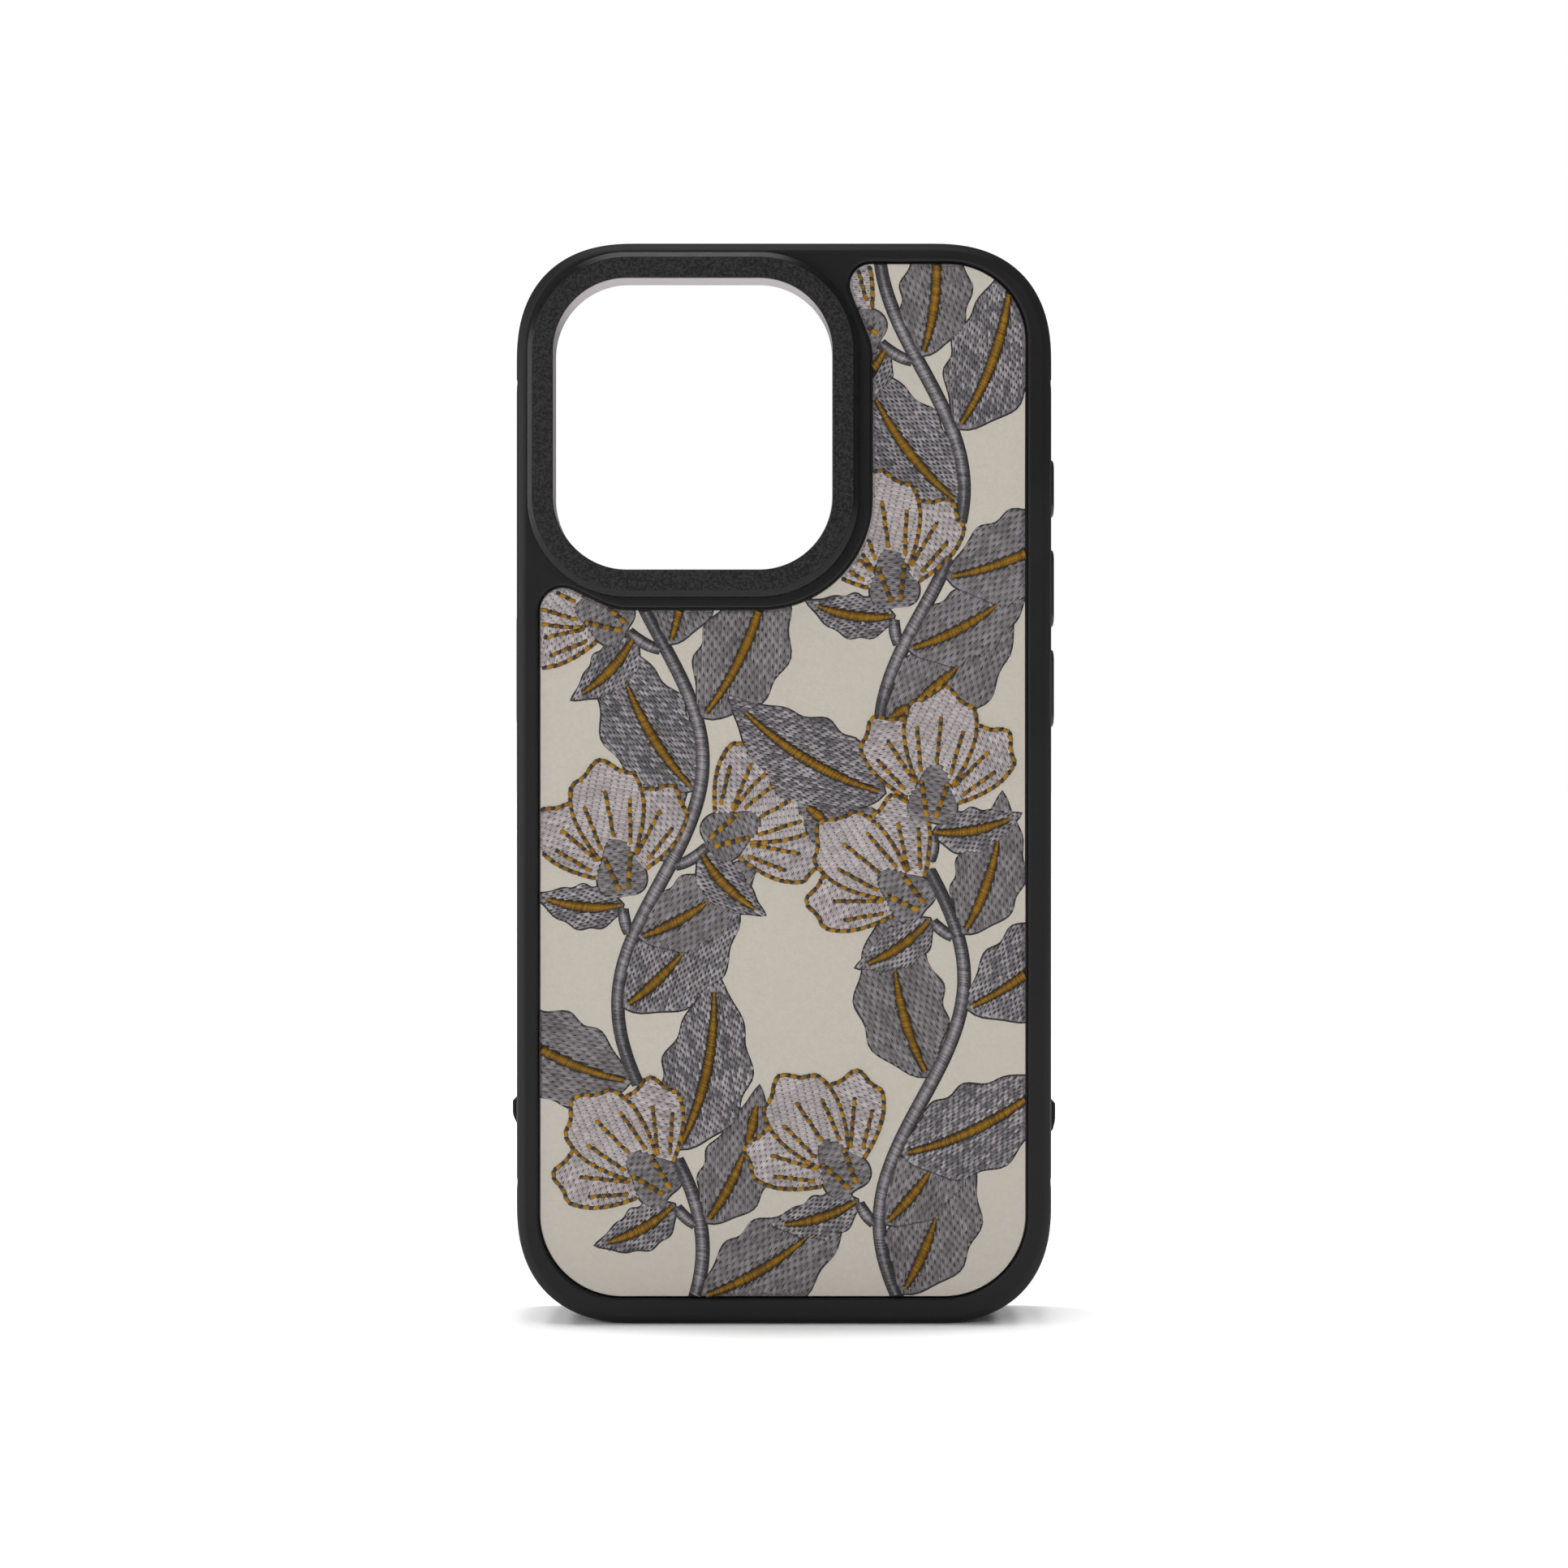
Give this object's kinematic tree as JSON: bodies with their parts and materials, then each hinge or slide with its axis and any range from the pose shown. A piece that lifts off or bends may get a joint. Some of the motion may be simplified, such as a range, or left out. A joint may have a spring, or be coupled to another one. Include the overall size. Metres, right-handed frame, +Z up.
{
  "type": "phone case",
  "caption": "Hard-backed phone case with a soft bumper frame, a patterned leather back panel, a raised camera ring and push buttons on both sides.",
  "frame": {"origin": "under the middle of the case, on its bottom edge", "axes": "+Z up the case from its charging-port edge to its top; +Y towards the open side that the screen faces, so the decorated back faces -Y; +X to the right seen from behind the case"},
  "size_m": [0.0776, 0.0144, 0.1532],
  "materials": {
    "bumper": "matt",
    "back_plate": "satin",
    "leather": "fine grain with a raised stitched-look pattern",
    "adhesive": "film",
    "camera_ring": "grained black face, satin sides",
    "button": "satin",
    "pad": "matt",
    "lining": "short pile",
    "magnet": "plated",
    "film": "film"
  },
  "bodies": {
    "case": {"bumper_frame": "bumper", "back_plate": "back_plate", "leather_panel": "leather", "panel_adhesive": "adhesive", "camera_ring": "camera_ring", "camera_ring_adhesive": "adhesive", "microfiber_lining": "lining", "magnet_film": "film", "ring_magnet_01": "magnet", "ring_magnet_02": "magnet", "ring_magnet_03": "magnet", "ring_magnet_04": "magnet", "ring_magnet_05": "magnet", "ring_magnet_06": "magnet", "ring_magnet_07": "magnet", "ring_magnet_08": "magnet", "ring_magnet_09": "magnet", "ring_magnet_10": "magnet", "ring_magnet_11": "magnet", "ring_magnet_12": "magnet", "ring_magnet_13": "magnet", "ring_magnet_14": "magnet", "ring_magnet_15": "magnet", "ring_magnet_16": "magnet", "alignment_magnet": "magnet"},
    "action_key": {"action_button": "button", "action_button_pad": "pad"},
    "volume_up_key": {"volume_up_button": "button", "volume_up_button_pad": "pad"},
    "volume_down_key": {"volume_down_button": "button", "volume_down_button_pad": "pad"},
    "side_key": {"side_button": "button", "side_button_pad": "pad"}
  },
  "joints": [
    {"name": "action_press", "type": "slide", "parent": "case", "child": "action_key", "axis": [-1, 0, 0], "range_m": [0, 0.00035], "stiffness_N_per_m": 500, "springref_m": -0.0002},
    {"name": "volume_up_press", "type": "slide", "parent": "case", "child": "volume_up_key", "axis": [-1, 0, 0], "range_m": [0, 0.00035], "stiffness_N_per_m": 500, "springref_m": -0.0002},
    {"name": "volume_down_press", "type": "slide", "parent": "case", "child": "volume_down_key", "axis": [-1, 0, 0], "range_m": [0, 0.00035], "stiffness_N_per_m": 500, "springref_m": -0.0002},
    {"name": "side_press", "type": "slide", "parent": "case", "child": "side_key", "axis": [1, 0, 0], "range_m": [0, 0.00035], "stiffness_N_per_m": 500, "springref_m": -0.0002}
  ]
}
